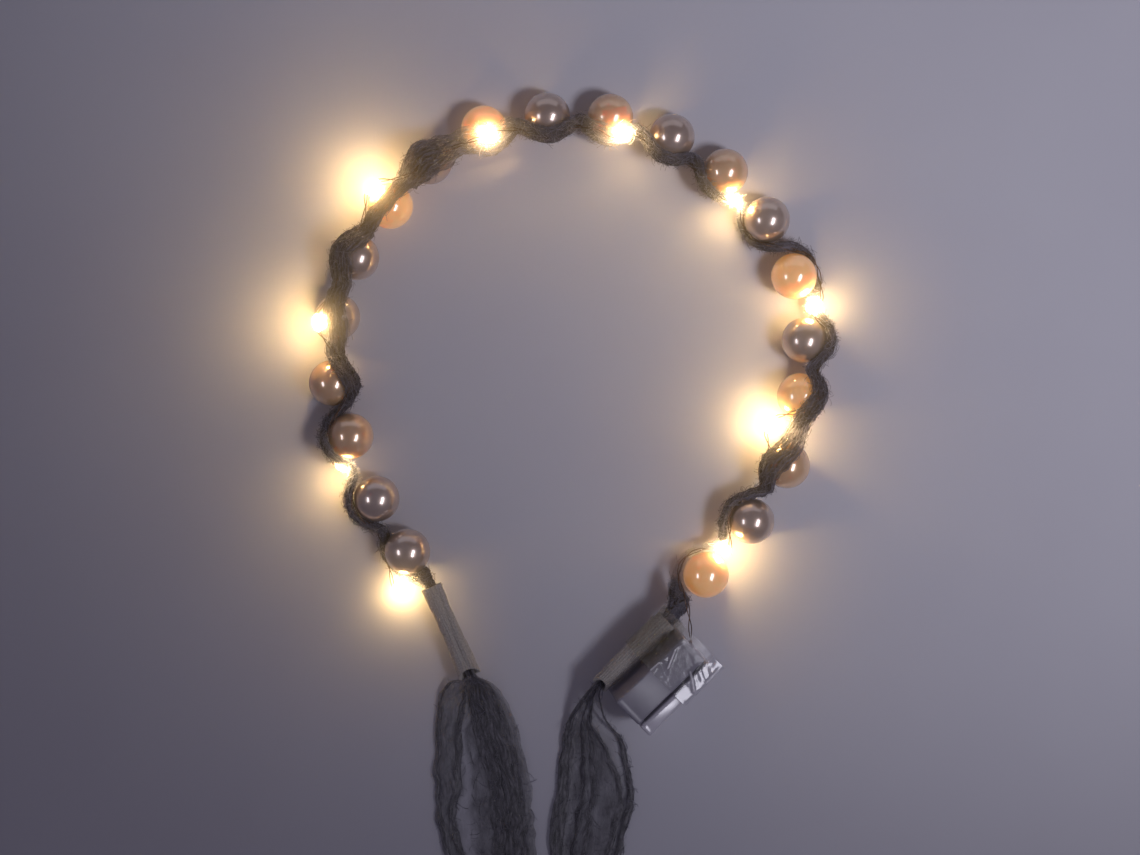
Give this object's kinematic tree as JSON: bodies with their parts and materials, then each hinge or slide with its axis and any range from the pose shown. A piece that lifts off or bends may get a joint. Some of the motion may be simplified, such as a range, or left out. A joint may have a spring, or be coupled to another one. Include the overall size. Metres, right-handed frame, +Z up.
{
  "type": "light-up headband",
  "caption": "Costume headband: an open loop of large pearls wound with crinkled organza ribbon and a string of warm LED drops, with tying tails and a taped battery case.",
  "frame": {"origin": "On the table, under the middle of the whole as it lies, tails included.", "axes": "+Z up from the table, +Y towards the wearer's face side of the loop and away from the tails, +X to the side with the battery case."},
  "size_m": [0.1852, 0.2732, 0.0303],
  "materials": {
    "pearl_taupe": "grey-white pearl lustre coat",
    "pearl_peach": "peach pearl lustre coat",
    "led_resin": "clear cast resin, lit warm white",
    "copper_wire": "lacquered copper",
    "organza": "sheer grey organza, crinkled",
    "ribbed_cloth": "fine ribbed knit",
    "frosted_plastic": "frosted",
    "tape_film": "clear glossy film"
  },
  "bodies": {
    "root": {"pearl_01": "pearl_taupe", "pearl_02": "pearl_taupe", "pearl_03": "pearl_peach", "pearl_04": "pearl_peach", "pearl_05": "pearl_taupe", "pearl_06": "pearl_taupe", "pearl_07": "pearl_peach", "pearl_08": "pearl_taupe", "pearl_09": "pearl_peach", "pearl_10": "pearl_taupe", "pearl_11": "pearl_peach", "pearl_12": "pearl_taupe", "pearl_13": "pearl_peach", "pearl_14": "pearl_taupe", "pearl_15": "pearl_peach", "pearl_16": "pearl_taupe", "pearl_17": "pearl_peach", "pearl_18": "pearl_peach", "pearl_19": "pearl_taupe", "pearl_20": "pearl_peach", "led_01": "led_resin", "led_02": "led_resin", "led_03": "led_resin", "led_04": "led_resin", "led_05": "led_resin", "led_06": "led_resin", "led_07": "led_resin", "led_08": "led_resin", "led_09": "led_resin", "led_10": "led_resin", "light_wire": "copper_wire", "ribbon_band": "organza", "ribbon_tail_left": "organza", "ribbon_tail_right": "organza", "sleeve_left": "ribbed_cloth", "sleeve_right": "ribbed_cloth", "battery_case": "frosted_plastic", "battery_lid": "frosted_plastic", "clear_tape": "tape_film"}
  },
  "joints": []
}
